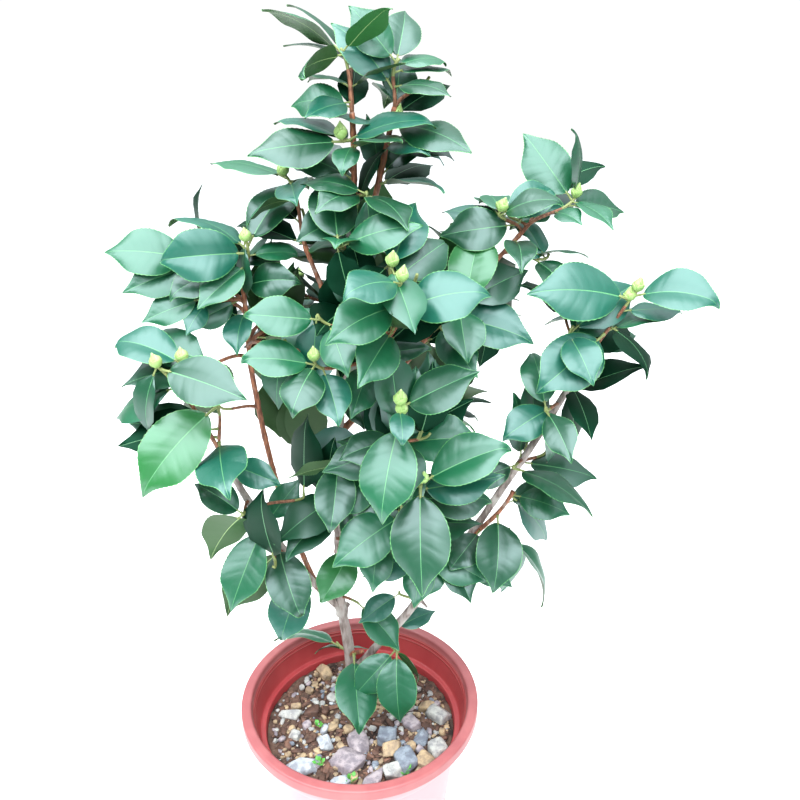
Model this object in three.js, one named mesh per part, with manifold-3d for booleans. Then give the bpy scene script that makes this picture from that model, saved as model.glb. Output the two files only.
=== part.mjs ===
// A potted camellia shrub: a plastic pot with a thick rolled lip, a bed of potting
// mix, a short trunk that forks just above it, boughs, and the masses of foliage
// that the boughs carry. Millimetres, +Z up. The origin is the middle of the pot's
// flat underside. Headings turn from +X (right) towards +Y (away from the viewer).

import * as THREE from 'three';
import { mergeVertices } from 'three/addons/utils/BufferGeometryUtils.js';
import Module from 'manifold-3d';

const wasm = await Module();
wasm.setup();

// ---- driving dimensions -------------------------------------------------------

const POT = {
  height: 190,
  lipRadius: 110,
  lipWidth: 9.2,
  lipDepth: 10,
  lipRound: 1.5,
  baseRadius: 76,
  wall: 2.5,
  floor: 3,
  collarDrop: 30, // from the top of the lip to the inner ledge
  collarTaper: 6.6, // how much narrower the collar is at the ledge
  ledge: 5, // width of the inner ledge
  sides: 36,
};
const SOIL_DEPTH = 40; // from the top of the lip down to the potting mix
const CLEARANCE = 0.3; // left between two pieces that press against each other
const SOIL_LEVEL = POT.height - SOIL_DEPTH;

const TRUNK = { foot: [-8, 43], base: 5.6, tip: 4.8, flare: 0.55, flareReach: 0.14 };
const LIMB = { sides: 6, rings: 6 };
const LUMPS = { count: 5, depth: 0.13, power: 3 };

const COLOUR = {
  pot: '#c96a63',
  soil: '#6d5a50',
  oldWood: '#8f8378',
  youngWood: '#83604a',
  leaves: '#2f6b52',
};

// The trunk, then every limb after the one that it grows from. `share` is the place
// along the parent where it leaves, `heading` and `rise` are its direction in
// degrees, and `bow` and `swing` move its middle outwards and to the left of its heading.
const LIMBS = [
  { name: 'trunk', heading: 205, rise: 84, length: 108, bow: 0, swing: 3 },
  {
    name: 'bough_right', parent: 'trunk', share: 0.27, heading: -12, rise: 61, length: 420,
    bow: 10, swing: -14, radii: [4.2, 2.6],
  },
  {
    name: 'leader', parent: 'trunk', share: 1, heading: -60, rise: 83.5, length: 300,
    bow: 0, swing: -6, radii: [4.2, 3],
  },
  {
    name: 'bough_left', parent: 'trunk', share: 1, heading: 219, rise: 64.5, length: 286,
    bow: 15, swing: -2, radii: [3.8, 2.4],
  },
  {
    name: 'bough_left_upper', parent: 'bough_left', share: 0.15, heading: 178, rise: 82, length: 312,
    bow: 15, swing: 4, radii: [2.6, 2],
  },
  {
    name: 'leader_top_left', parent: 'leader', share: 0.95, heading: 10, rise: 88, length: 190,
    bow: 4, swing: 0, radii: [2.6, 1.9],
  },
  {
    name: 'leader_top_right', parent: 'leader', share: 0.95, heading: 14, rise: 77, length: 180,
    bow: 0, swing: 5, radii: [2.6, 1.9],
  },
  {
    name: 'bough_shoulder_left', parent: 'leader', share: 0.93, heading: 164, rise: 68, length: 112,
    bow: 2, swing: 0, radii: [2.2, 1.7],
  },
  {
    name: 'bough_right_upper', parent: 'leader', share: 0.66, heading: 3, rise: 52, length: 202,
    bow: 7, swing: 0, radii: [3, 1.9],
  },
  {
    name: 'bough_right_shoulder', parent: 'bough_right_upper', share: 0.72,
    heading: 16, rise: 46, length: 108, bow: 5, swing: 0, radii: [2.1, 1.6],
  },
  {
    name: 'bough_front_upper', parent: 'leader', share: 0.78, heading: -54, rise: 47, length: 118,
    bow: 5, swing: 0, radii: [2.2, 1.6],
  },
  {
    name: 'bough_front', parent: 'leader', share: 0.42, heading: -50, rise: 50, length: 160,
    bow: 7, swing: 0, radii: [2.6, 1.8],
  },
  {
    name: 'bough_front_low', parent: 'leader', share: 0.24, heading: -52, rise: 43, length: 148,
    bow: 8, swing: 0, radii: [2.4, 1.7],
  },
  {
    name: 'bough_skirt', parent: 'trunk', share: 0.5, heading: -54, rise: 45, length: 80,
    bow: 5, swing: 0, radii: [2.2, 1.6],
  },
  {
    name: 'bough_left_low', parent: 'bough_left', share: 0.33, heading: 246, rise: 40, length: 66,
    bow: 2, swing: 0, radii: [2, 1.5],
  },
  {
    name: 'bough_right_low', parent: 'bough_right', share: 0.46, heading: -24, rise: 57, length: 104,
    bow: 3, swing: 0, radii: [2.2, 1.6],
  },
  {
    name: 'bough_back_left', parent: 'leader', share: 0.3, heading: 122, rise: 55, length: 150,
    bow: 5, swing: 0, radii: [2.6, 1.8],
  },
  {
    name: 'bough_back_right', parent: 'leader', share: 0.46, heading: 48, rise: 40, length: 150,
    bow: 8, swing: 0, radii: [2.6, 1.8],
  },
  {
    name: 'bough_back_upper', parent: 'leader', share: 0.86, heading: 84, rise: 40, length: 100,
    bow: 5, swing: 0, radii: [2.2, 1.6],
  },
];

// Each mass of leaves sits round a place on its limb, moved by `shift`. `size` is
// its half width, half depth and half height. `reach` draws it out towards the
// heading and rise given in `toward`, where its longest leaves point.
const MASSES = [
  {
    name: 'leaves_top_left', limb: 'leader_top_left', shift: [-8, 0, 4],
    size: [44, 37, 38], toward: [172, 35], reach: 0.3,
  },
  {
    name: 'leaves_top_right', limb: 'leader_top_right', shift: [2, 0, 17],
    size: [36, 35, 36], toward: [15, 15], reach: 0.25,
  },
  {
    name: 'leaves_spire_left', limb: 'leader_top_left', share: 0.68, shift: [-24, -6, 0],
    size: [40, 38, 27], toward: [185, 0], reach: 0.25,
  },
  {
    name: 'leaves_spire_right', limb: 'leader_top_right', share: 0.74, shift: [13, 0, 8],
    size: [38, 36, 25], toward: [0, 8], reach: 0.35,
  },
  {
    name: 'leaves_spire_foot', limb: 'leader_top_left', share: 0.45, shift: [-4, -16, 6],
    size: [38, 38, 34], toward: [250, 0], reach: 0.1,
  },
  {
    name: 'leaves_shoulder_left', limb: 'bough_shoulder_left', shift: [-4, 0, 0],
    size: [42, 38, 38], toward: [170, 28], reach: 0.3,
  },
  {
    name: 'leaves_left_upper', limb: 'bough_left_upper', shift: [-10, -2, 0],
    size: [50, 44, 34], toward: [180, 0], reach: 0.9,
  },
  {
    name: 'leaves_left_outer', limb: 'bough_left_upper', share: 0.9, shift: [-34, -12, -4],
    size: [46, 40, 30], toward: [172, 5], reach: 0.4,
  },
  {
    name: 'leaves_left_middle', limb: 'bough_left', shift: [-2, 2, -14],
    size: [48, 46, 54], toward: [200, -20], reach: 0.2,
  },
  {
    name: 'leaves_left_inner', limb: 'bough_left_upper', share: 0.74, shift: [44, -70, 24],
    size: [36, 40, 38], toward: [250, 0], reach: 0.1,
  },
  {
    name: 'leaves_middle_upper', limb: 'leader', share: 0.98, shift: [0, -42, 38],
    size: [42, 44, 46], toward: [260, 0], reach: 0.1,
  },
  {
    name: 'leaves_front_upper', limb: 'bough_front_upper', shift: [4, -16, 14],
    size: [44, 42, 44], toward: [-60, 0], reach: 0.1,
  },
  {
    name: 'leaves_front', limb: 'bough_front', shift: [2, -8, 0],
    size: [50, 42, 52], toward: [-60, -30], reach: 0.1,
  },
  {
    name: 'leaves_front_low', limb: 'bough_front_low', shift: [6, -8, 2],
    size: [52, 44, 46], toward: [-90, -60], reach: 0.2,
  },
  {
    name: 'leaves_middle_left', limb: 'leader', share: 0.45, shift: [-14, -48, 18],
    size: [36, 42, 62], toward: [230, -40], reach: 0.1,
  },
  {
    name: 'leaves_right_inner', limb: 'bough_right_upper', share: 0.7, shift: [12, -18, 6],
    size: [42, 44, 44], toward: [-60, 0], reach: 0.1,
  },
  {
    name: 'leaves_right_upper', limb: 'bough_right_upper', shift: [-6, 0, 6],
    size: [42, 40, 35], toward: [160, 20], reach: 0.15,
  },
  {
    name: 'leaves_right_shoulder', limb: 'bough_right_shoulder', shift: [7, 0, -5],
    size: [44, 38, 36], toward: [120, 60], reach: 0.3,
  },
  {
    name: 'leaves_right_outer', limb: 'bough_right', shift: [4, 0, 2],
    size: [60, 46, 42], toward: [0, 12], reach: 0.5,
  },
  {
    name: 'leaves_right_middle', limb: 'bough_right', share: 0.86, shift: [-2, -16, -4],
    size: [40, 40, 42], toward: [260, -40], reach: 0.15,
  },
  {
    name: 'leaves_right_low', limb: 'bough_right_low', shift: [4, -4, 2],
    size: [44, 38, 30], toward: [-10, -15], reach: 0.35,
  },
  {
    name: 'leaves_right_skirt', limb: 'bough_right', share: 0.48, shift: [32, -10, -3],
    size: [42, 38, 36], toward: [0, -45], reach: 0.5,
  },
  {
    name: 'leaves_left_low', limb: 'bough_left_low', shift: [5, -2, -7],
    size: [44, 40, 54], toward: [250, -60], reach: 0.1,
  },
  {
    name: 'leaves_skirt', limb: 'bough_skirt', shift: [-8, -2, -30],
    size: [44, 34, 64], toward: [240, -80], reach: 0.12,
  },
  {
    name: 'leaves_foot', limb: 'trunk', share: 0.55, shift: [-27, 12, 2],
    size: [30, 24, 20], toward: [180, 5], reach: 0.3,
  },
  {
    name: 'leaves_back_upper', limb: 'bough_back_upper', shift: [4, -6, 14],
    size: [46, 40, 40], toward: [90, 0], reach: 0.15,
  },
  {
    name: 'leaves_back_left', limb: 'bough_left_upper', share: 0.8, shift: [22, 56, 6],
    size: [46, 42, 44], toward: [120, 0], reach: 0.15,
  },
  {
    name: 'leaves_back_right', limb: 'bough_right_upper', share: 0.66, shift: [12, 66, 6],
    size: [50, 42, 42], toward: [60, 0], reach: 0.15,
  },
  {
    name: 'leaves_back_middle', limb: 'bough_back_right', shift: [-40, 12, 18],
    size: [50, 40, 48], toward: [90, 0], reach: 0.15,
  },
  {
    name: 'leaves_back_low_left', limb: 'bough_back_left', shift: [0, 2, -8],
    size: [44, 40, 44], toward: [120, -10], reach: 0.15,
  },
  {
    name: 'leaves_back_low_right', limb: 'bough_back_right', shift: [12, 0, -44],
    size: [46, 40, 44], toward: [60, -10], reach: 0.15,
  },
];

// ---- small helpers -------------------------------------------------------------

const vec = (x, y, z) => new THREE.Vector3(x, y, z);

// A unit vector from a heading and a rise, in degrees.
function direction(heading, rise) {
  const h = THREE.MathUtils.degToRad(heading);
  const r = THREE.MathUtils.degToRad(rise);
  return vec(Math.cos(r) * Math.cos(h), Math.cos(r) * Math.sin(h), Math.sin(r));
}

// A number from 0 to 1 that depends only on its two whole-number inputs.
function chance(seed, index) {
  const wave = Math.sin(seed * 127.1 + index * 311.7 + 17.3) * 43758.5453;
  return wave - Math.floor(wave);
}

function toSolid(geometry) {
  const bare = geometry.clone();
  bare.deleteAttribute('normal');
  bare.deleteAttribute('uv');
  const merged = mergeVertices(bare, 1e-4);
  return new wasm.Manifold(new wasm.Mesh({
    numProp: 3,
    vertProperties: new Float32Array(merged.attributes.position.array),
    triVerts: new Uint32Array(merged.index.array),
  }));
}

function toGeometry(solid) {
  const mesh = solid.getMesh();
  const geometry = new THREE.BufferGeometry();
  geometry.setAttribute('position', new THREE.BufferAttribute(mesh.vertProperties, 3));
  geometry.setIndex(new THREE.BufferAttribute(mesh.triVerts, 1));
  geometry.computeVertexNormals();
  return geometry;
}

// The biggest body that is left of a solid after cuts.
function largestBody(solid) {
  return solid.decompose().reduce((best, body) => (body.volume() > best.volume() ? body : best));
}

function makeMesh(name, geometry, color, roughness) {
  const material = new THREE.MeshStandardMaterial({ color, roughness, metalness: 0 });
  const mesh = new THREE.Mesh(geometry, material);
  mesh.name = name;
  return mesh;
}

// ---- pot and potting mix -------------------------------------------------------

// Radius of the outer wall at a height, on the straight taper below the collar.
function outerRadius(z) {
  const collarFoot = POT.height - POT.collarDrop - POT.wall;
  const topRadius = POT.lipRadius - POT.lipWidth - POT.collarTaper - POT.ledge + POT.wall;
  return THREE.MathUtils.mapLinear(z, 0, collarFoot, POT.baseRadius, topRadius);
}

const innerRadius = (z) => outerRadius(z) - POT.wall;

const LEDGE_TOP = POT.height - POT.collarDrop;
const LEDGE_UNDER = LEDGE_TOP - POT.wall;

// The tapering wall in section, from the middle of the floor out, up to the ledge and
// back down inside.
function wallProfile() {
  return [
    [0, 0],
    [POT.baseRadius, 0],
    [outerRadius(LEDGE_UNDER), LEDGE_UNDER],
    [innerRadius(LEDGE_UNDER), LEDGE_UNDER],
    [innerRadius(POT.floor), POT.floor],
    [0, POT.floor],
  ];
}

// The ledge, the collar and the rolled lip in section. They stand on the wall.
function collarProfile() {
  const top = POT.height;
  const mouth = POT.lipRadius - POT.lipWidth;
  const collarFoot = mouth - POT.collarTaper;
  const skirt = top - POT.lipDepth;
  const round = POT.lipRound;
  return [
    [innerRadius(LEDGE_UNDER), LEDGE_UNDER],
    [collarFoot + POT.wall, LEDGE_UNDER],
    [mouth + POT.wall, top - POT.wall],
    [POT.lipRadius - POT.wall, top - POT.wall],
    [POT.lipRadius - POT.wall, skirt],
    [POT.lipRadius, skirt],
    [POT.lipRadius, top - round],
    [POT.lipRadius - round, top],
    [mouth + round, top],
    [mouth, top - round],
    [collarFoot, LEDGE_TOP],
    [innerRadius(LEDGE_TOP), LEDGE_TOP],
    [innerRadius(LEDGE_UNDER), LEDGE_UNDER],
  ];
}

function soilProfile() {
  return [
    [0, POT.floor],
    [innerRadius(POT.floor) - CLEARANCE, POT.floor],
    [innerRadius(SOIL_LEVEL) - CLEARANCE, SOIL_LEVEL],
    [0, SOIL_LEVEL],
  ];
}

// Turns a section about Z. LatheGeometry turns about Y, so it is stood up afterwards.
function turned(profile) {
  const points = profile.map(([radius, height]) => new THREE.Vector2(radius, height));
  const lathe = new THREE.LatheGeometry(points, POT.sides);
  lathe.rotateX(Math.PI / 2);
  return lathe;
}

// ---- limbs ---------------------------------------------------------------------

const curves = new Map();

function limbCurve(limb) {
  const start = limb.parent
    ? curves.get(limb.parent).getPoint(limb.share)
    : vec(...TRUNK.foot, SOIL_LEVEL);
  const along = direction(limb.heading, limb.rise);
  const end = start.clone().addScaledVector(along, limb.length);
  const middle = start.clone().lerp(end, 0.5);
  // a quadratic curve's middle moves by half of what its control point does
  middle.addScaledVector(direction(limb.heading, 0), 2 * limb.bow);
  middle.addScaledVector(direction(limb.heading + 90, 0), 2 * limb.swing);
  return new THREE.QuadraticBezierCurve3(start, middle, end);
}

// A capped cylinder, bent so that its axis follows the curve. Each ring is square to
// the curve and `radiusAt` gives its radius.
function bentCylinder(curve, radiusAt, from = 0) {
  const rod = new THREE.CylinderGeometry(1, 1, 1, LIMB.sides, LIMB.rings);
  const place = rod.attributes.position;
  for (let i = 0; i < place.count; i += 1) {
    const share = from + (place.getY(i) + 0.5) * (1 - from);
    const tangent = curve.getTangent(Math.max(share, 0));
    const side = vec(0, 1, 0).cross(tangent).normalize();
    const other = tangent.clone().cross(side);
    const radius = radiusAt(share);
    const point = curve.getPoint(Math.max(share, 0));
    point.addScaledVector(tangent, Math.min(share, 0) * curve.getLength());
    point.addScaledVector(side, place.getZ(i) * radius);
    point.addScaledVector(other, place.getX(i) * radius);
    place.setXYZ(i, point.x, point.y, point.z);
  }
  return toSolid(rod);
}

// The trunk widens at its foot and is cut flat where it stands in the potting mix.
function trunkSolid(grow = 0) {
  const buried = -0.08; // runs on below the potting mix, and is trimmed there
  const radiusAt = (share) => {
    const flare = TRUNK.flare * Math.exp(-Math.max(share, 0) / TRUNK.flareReach);
    return THREE.MathUtils.lerp(TRUNK.base, TRUNK.tip, Math.max(share, 0)) * (1 + flare) + grow;
  };
  const ground = new THREE.BoxGeometry(100, 100, 100);
  ground.translate(...TRUNK.foot, SOIL_LEVEL - 50);
  return bentCylinder(curves.get('trunk'), radiusAt, buried).subtract(toSolid(ground));
}

function limbSolid(limb, grow = 0) {
  if (limb.name === 'trunk') return trunkSolid(grow);
  const [base, tip] = limb.radii;
  const radiusAt = (share) => THREE.MathUtils.lerp(base, tip, share) + grow;
  return bentCylinder(curves.get(limb.name), radiusAt);
}

// ---- masses of leaves ----------------------------------------------------------

function massCentre(mass) {
  return curves.get(mass.limb).getPoint(mass.share ?? 1).add(vec(...mass.shift));
}

// A ball with shallow lumps, stretched to the mass's size and drawn out to one side.
function massSolid(mass, seed, grow = 0) {
  const ball = new THREE.OctahedronGeometry(1, 3);
  const lumps = Array.from({ length: LUMPS.count }, (_, k) => {
    const heading = 360 * chance(seed, k);
    const rise = 90 - 180 * chance(seed, k + LUMPS.count);
    return direction(heading, rise);
  });
  const outward = direction(...mass.toward);
  const centre = massCentre(mass);
  const place = ball.attributes.position;
  const size = vec(...mass.size);
  for (let i = 0; i < place.count; i += 1) {
    const way = vec(0, 0, 0).fromBufferAttribute(place, i).normalize();
    const swell = lumps.reduce((sum, lump) => sum + Math.max(0, lump.dot(way)) ** LUMPS.power, 0);
    const drawn = mass.reach * Math.max(0, outward.dot(way)) ** (2 * LUMPS.power);
    const radius = 1 - LUMPS.depth + LUMPS.depth * swell + drawn;
    const point = way.clone().multiply(size).multiplyScalar(radius);
    point.addScaledVector(way, grow).add(centre);
    place.setXYZ(i, point.x, point.y, point.z);
  }
  return toSolid(ball);
}

// ---- the plant -----------------------------------------------------------------

const plant = new THREE.Group();

plant.add(makeMesh('pot', turned(wallProfile()), COLOUR.pot, 0.45));
plant.add(makeMesh('pot_collar', turned(collarProfile()), COLOUR.pot, 0.45));
plant.add(makeMesh('potting_mix', turned(soilProfile()), COLOUR.soil, 0.95));

for (const limb of LIMBS) {
  curves.set(limb.name, limbCurve(limb));
}

const endMass = new Map();
MASSES.forEach((mass, seed) => {
  if (mass.share === undefined) endMass.set(mass.limb, massSolid(mass, seed, CLEARANCE));
});

// Each limb starts at the bark of the limbs before it and ends where it enters its mass.
LIMBS.forEach((limb, order) => {
  let solid = limbSolid(limb);
  for (const earlier of LIMBS.slice(0, order)) {
    solid = solid.subtract(limbSolid(earlier, CLEARANCE));
  }
  if (endMass.has(limb.name)) solid = solid.subtract(endMass.get(limb.name));
  const colour = order < 4 ? COLOUR.oldWood : COLOUR.youngWood;
  plant.add(makeMesh(limb.name, toGeometry(largestBody(solid)), colour, 0.8));
});

// Each mass makes room for the limbs that run through it and for the masses before it.
MASSES.forEach((mass, order) => {
  let solid = massSolid(mass, order);
  for (const limb of LIMBS) {
    const endsHere = limb.name === mass.limb && mass.share === undefined;
    if (!endsHere) solid = solid.subtract(limbSolid(limb, CLEARANCE));
  }
  MASSES.slice(0, order).forEach((earlier, index) => {
    solid = solid.subtract(massSolid(earlier, index, CLEARANCE));
  });
  plant.add(makeMesh(mass.name, toGeometry(largestBody(solid)), COLOUR.leaves, 0.5));
});

export default plant;
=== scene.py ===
# %% [markdown]
# A potted camellia shrub in a plastic nursery pot.
#
# The plant comes in as a frame of plain solids: a pot, its potting mix, nineteen limbs
# and a mass for each clump of foliage. This script grows bark, twigs, leaves, buds and
# gravel on that frame. Every shape is worked out with numpy as whole arrays of points,
# because a leaf or a stone is then one short formula that is easy to read and change.

import bpy
import numpy as np
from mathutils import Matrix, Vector
from mathutils.bvhtree import BVHTree


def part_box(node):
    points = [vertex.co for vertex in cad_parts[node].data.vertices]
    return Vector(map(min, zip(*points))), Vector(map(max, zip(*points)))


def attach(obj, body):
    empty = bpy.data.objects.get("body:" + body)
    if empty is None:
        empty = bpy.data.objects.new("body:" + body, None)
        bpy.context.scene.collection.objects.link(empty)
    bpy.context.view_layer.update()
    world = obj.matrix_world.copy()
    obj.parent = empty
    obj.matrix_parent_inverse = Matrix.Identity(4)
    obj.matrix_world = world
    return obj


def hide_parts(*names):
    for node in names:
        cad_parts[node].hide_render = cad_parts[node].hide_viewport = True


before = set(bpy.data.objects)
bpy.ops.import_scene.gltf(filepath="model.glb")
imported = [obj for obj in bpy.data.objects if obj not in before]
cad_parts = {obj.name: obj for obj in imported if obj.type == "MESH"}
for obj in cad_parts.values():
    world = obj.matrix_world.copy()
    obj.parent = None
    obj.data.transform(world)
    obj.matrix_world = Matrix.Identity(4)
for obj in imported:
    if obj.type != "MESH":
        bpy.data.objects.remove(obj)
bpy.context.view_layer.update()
chance = np.random.default_rng(20)
print("frame:", len(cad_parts), "nodes")

# %% [markdown]
# Four small helpers carry most of the work. `ease` is the smooth step that fades one
# effect into another. `way` turns a clock hour and a rise into a direction, which is how
# a gardener would say where a leaf points: 12 is away from the viewer and 3 is right.
# `noise` gives the soft unevenness of living things, and `unit` keeps directions tidy.

# %% Shared helpers
MM = 0.001
UP = np.array([0.0, 0.0, 1.0])


def unit(vector):
    """Each vector divided by its own length."""
    return vector / np.maximum(np.linalg.norm(vector, axis=-1, keepdims=True), 1e-12)


def ease(low, high, x):
    """0 below `low` and 1 above `high`, with 3t^2 - 2t^3 between."""
    t = np.clip((x - low) / (high - low), 0, 1)
    return t * t * (3 - 2 * t)


def way(hour, rise):
    """A unit direction: `hour` on a clock laid flat with 12 away, `rise` in degrees."""
    turn, lift = np.radians(90 - 30 * hour), np.radians(rise)
    return np.array([np.cos(lift) * np.cos(turn), np.cos(lift) * np.sin(turn), np.sin(lift)])


def lattice(cell, seed):
    """A chance from 0 to 1 for each whole-number cell, by multiplying and folding bits."""
    mixed = (cell[..., 0] * 73856093) ^ (cell[..., 1] * 19349663) ^ (cell[..., 2] * 83492791)
    mixed = ((mixed ^ (seed * 2654435)) & 0xFFFFFFFF) * 40503 & 0xFFFFFFFF
    mixed = (mixed ^ (mixed >> 15)) * 48271 & 0xFFFFFFFF
    return ((mixed ^ (mixed >> 13)) & 0xFFFF) / 0xFFFF


def noise(points, size, seed=0):
    """Value noise from -1 to 1: chances on a grid of cells `size` wide, eased together."""
    place = np.asarray(points, float) / size
    cell = np.floor(place).astype(np.int64)
    t = ease(0, 1, place - cell)
    total = 0
    for corner in np.ndindex(2, 2, 2):
        weight = np.prod(np.where(corner, t, 1 - t), axis=-1)
        total = total + weight * lattice(cell + corner, seed)
    return 2 * total - 1


# %% [markdown]
# Nearly everything on a plant is a closed tube: a limb, a twig, a petiole, a bud, and
# even a leaf, which is a very flat one. So one function makes the faces of a tube with a
# pole at each end, another carries rings along a path, and a small class gathers many
# tubes into one piece. `foreach_set` hands the whole arrays to Blender at once.


# %% Tubes and joined pieces
def tube_faces(rings, sides):
    """Quads between neighbouring rings, and a fan to a pole at each end. The points are
    the rings in order, then the first pole and the last. A triangle's fourth corner is -1."""
    ring, side = np.meshgrid(np.arange(rings - 1), np.arange(sides), indexing="ij")
    here, there = ring * sides + side, ring * sides + (side + 1) % sides
    walls = np.stack([here, there, there + sides, here + sides], -1).reshape(-1, 4)
    now, after = np.arange(sides), (np.arange(sides) + 1) % sides
    top, pole, gone = (rings - 1) * sides, np.full(sides, rings * sides), np.full(sides, -1)
    start = np.stack([after, now, pole, gone], -1)
    end = np.stack([top + now, top + after, pole + 1, gone], -1)
    return np.concatenate([walls, start, end])


def sweep(path, radius, sides, dome=0.6):
    """Points of a tube: ring i is path[i] + radius[i] * (side cos a + other sin a), with
    `side` and `other` square to the path. Each end is domed by a share of its radius."""
    radius = np.asarray(radius, float).reshape(len(path), -1)
    radius = np.broadcast_to(radius, (len(path), sides))
    tangent = unit(np.gradient(path, axis=0))
    square = np.eye(3)[np.argmin(np.abs(tangent.mean(0)))]
    side = unit(np.cross(square, tangent))
    other = np.cross(tangent, side)
    angle = 2 * np.pi * np.arange(sides) / sides
    spoke = np.cos(angle)[:, None] * side[:, None] + np.sin(angle)[:, None] * other[:, None]
    rings = path[:, None] + radius[..., None] * spoke
    poles = [path[0] - tangent[0] * radius[0].mean() * dome,
             path[-1] + tangent[-1] * radius[-1].mean() * dome]
    return np.concatenate([rings.reshape(-1, 3), poles])


def curve(start, leave, arrive, end, count):
    """A cubic curve from `start` to `end`, pulled towards its two middle points."""
    t = np.linspace(0, 1, count)[:, None]
    s = 1 - t
    return s**3 * start + 3 * s * s * t * leave + 3 * s * t * t * arrive + t**3 * end


class Gathered:
    """Closed shapes that are joined into one piece."""

    def __init__(self):
        self.points, self.faces, self.finish, self.edge, self.count = [], [], [], [], 0

    def add(self, points, faces, finish=0, edge=None):
        """One shape, the finish of each face, and which points lie on a sharp edge."""
        self.points.append(points)
        self.faces.append(np.where(faces >= 0, faces + self.count, -1))
        self.finish.append(np.broadcast_to(finish, len(faces)))
        self.edge.append(np.zeros(len(points), bool) if edge is None else edge)
        self.count += len(points)

    def tube(self, path, radius, sides, finish=0, dome=0.6):
        """A swept tube. `finish` is one number, or one for each ring."""
        finish = np.broadcast_to(finish, len(path))
        own = np.repeat(np.concatenate([finish[:-1], finish[[0, -1]]]), sides)
        self.add(sweep(path, radius, sides, dome), tube_faces(len(path), sides), own)

    def piece(self, name, finishes, slot, replaced=()):
        """Makes the joined mesh an object that rides on the plant."""
        points, faces = np.concatenate(self.points), np.concatenate(self.faces)
        corners, sizes = faces[faces >= 0], (faces >= 0).sum(1)
        mesh = bpy.data.meshes.new(name)
        mesh.vertices.add(len(points))
        mesh.vertices.foreach_set("co", points.astype(np.float32).ravel())
        mesh.loops.add(len(corners))
        mesh.loops.foreach_set("vertex_index", corners.astype(np.int32))
        mesh.polygons.add(len(faces))
        mesh.polygons.foreach_set("loop_start", (np.cumsum(sizes) - sizes).astype(np.int32))
        mesh.polygons.foreach_set("material_index", np.concatenate(self.finish).astype(np.int32))
        mesh.polygons.foreach_set("use_smooth", np.full(len(faces), True))
        mesh.update(calc_edges=True)
        rim = np.concatenate(self.edge)
        if rim.any():
            ends = np.empty(len(mesh.edges) * 2, np.int32)
            mesh.edges.foreach_get("vertices", ends)
            sharp = mesh.attributes.new("sharp_edge", "BOOLEAN", "EDGE")
            sharp.data.foreach_set("value", rim[ends.reshape(-1, 2)].all(1))
        for finish in finishes:
            mesh.materials.append(finish)
        obj = bpy.data.objects.new(name, mesh)
        bpy.context.scene.collection.objects.link(obj)
        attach(obj, "root")
        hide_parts(*replaced)
        print(f"{name}: {int((sizes - 2).sum()):,} triangles")


# %% [markdown]
# Finishes are node trees, and writing them as sums keeps them readable. `Wire` wraps one
# socket so that Python's own signs add Math nodes. Colours are mixed by a Mix node,
# since a Math node would turn them grey. A colour is given as three numbers from 0 to
# 255, as a paint chart gives it, and turned to light values once. Most finishes here are
# a ground colour with one or two clouded layers, so `coat` lays those.


# %% Shader arithmetic
def paint(red, green, blue):
    """A screen colour as linear light: ((c + 0.055) / 1.055) ^ 2.4 above 0.04045."""
    c = np.array([red, green, blue]) / 255
    linear = np.where(c > 0.04045, ((c + 0.055) / 1.055) ** 2.4, c / 12.92)
    return (*linear.tolist(), 1.0)


class Wire:
    """One output socket that can stand in a sum."""

    def __init__(self, tree, socket):
        self.tree, self.socket = tree, socket

    def _sum(self, operation, first, second):
        return self.tree.node("ShaderNodeMath", {"operation": operation}, {0: first, 1: second})

    def __add__(self, other): return self._sum("ADD", self, other)
    def __radd__(self, other): return self._sum("ADD", other, self)
    def __mul__(self, other): return self._sum("MULTIPLY", self, other)
    def __rmul__(self, other): return self._sum("MULTIPLY", other, self)


class Tree:
    """A node tree that is written as sums."""

    def __init__(self, node_tree):
        self.node_tree = node_tree

    def node(self, kind, settings=None, inputs=None, output=0):
        """Adds a node: its settings, then the value or wire of each socket."""
        node = self.node_tree.nodes.new(kind)
        for label, value in (settings or {}).items():
            setattr(node, label, value)
        for label, value in (inputs or {}).items():
            self.plug(node.inputs[label], value)
        return Wire(self, node.outputs[output])

    def plug(self, socket, value):
        if isinstance(value, Wire):
            self.node_tree.links.new(value.socket, socket)
        else:
            socket.default_value = value

    def split(self, wire):
        """The x, y and z of a place or a direction."""
        node = self.node_tree.nodes.new("ShaderNodeSeparateXYZ")
        self.plug(node.inputs[0], wire)
        return [Wire(self, socket) for socket in node.outputs]

    def step(self, wire, low, high):
        """0 at `low`, 1 at `high`, eased between."""
        knobs = {"Value": wire, "From Min": low, "From Max": high}
        return self.node("ShaderNodeMapRange", {"interpolation_type": "SMOOTHSTEP"}, knobs)

    def mix(self, share, first, second):
        """`first` where share is 0, `second` where it is 1."""
        knobs = {0: share, 6: first, 7: second}
        return self.node("ShaderNodeMix", {"data_type": "RGBA"}, knobs, output=2)

    def fade(self, wire, low, high, first, second):
        """`first` where the wire is below `low`, `second` above `high`, eased between."""
        return self.mix(self.step(wire, low, high), first, second)


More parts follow.
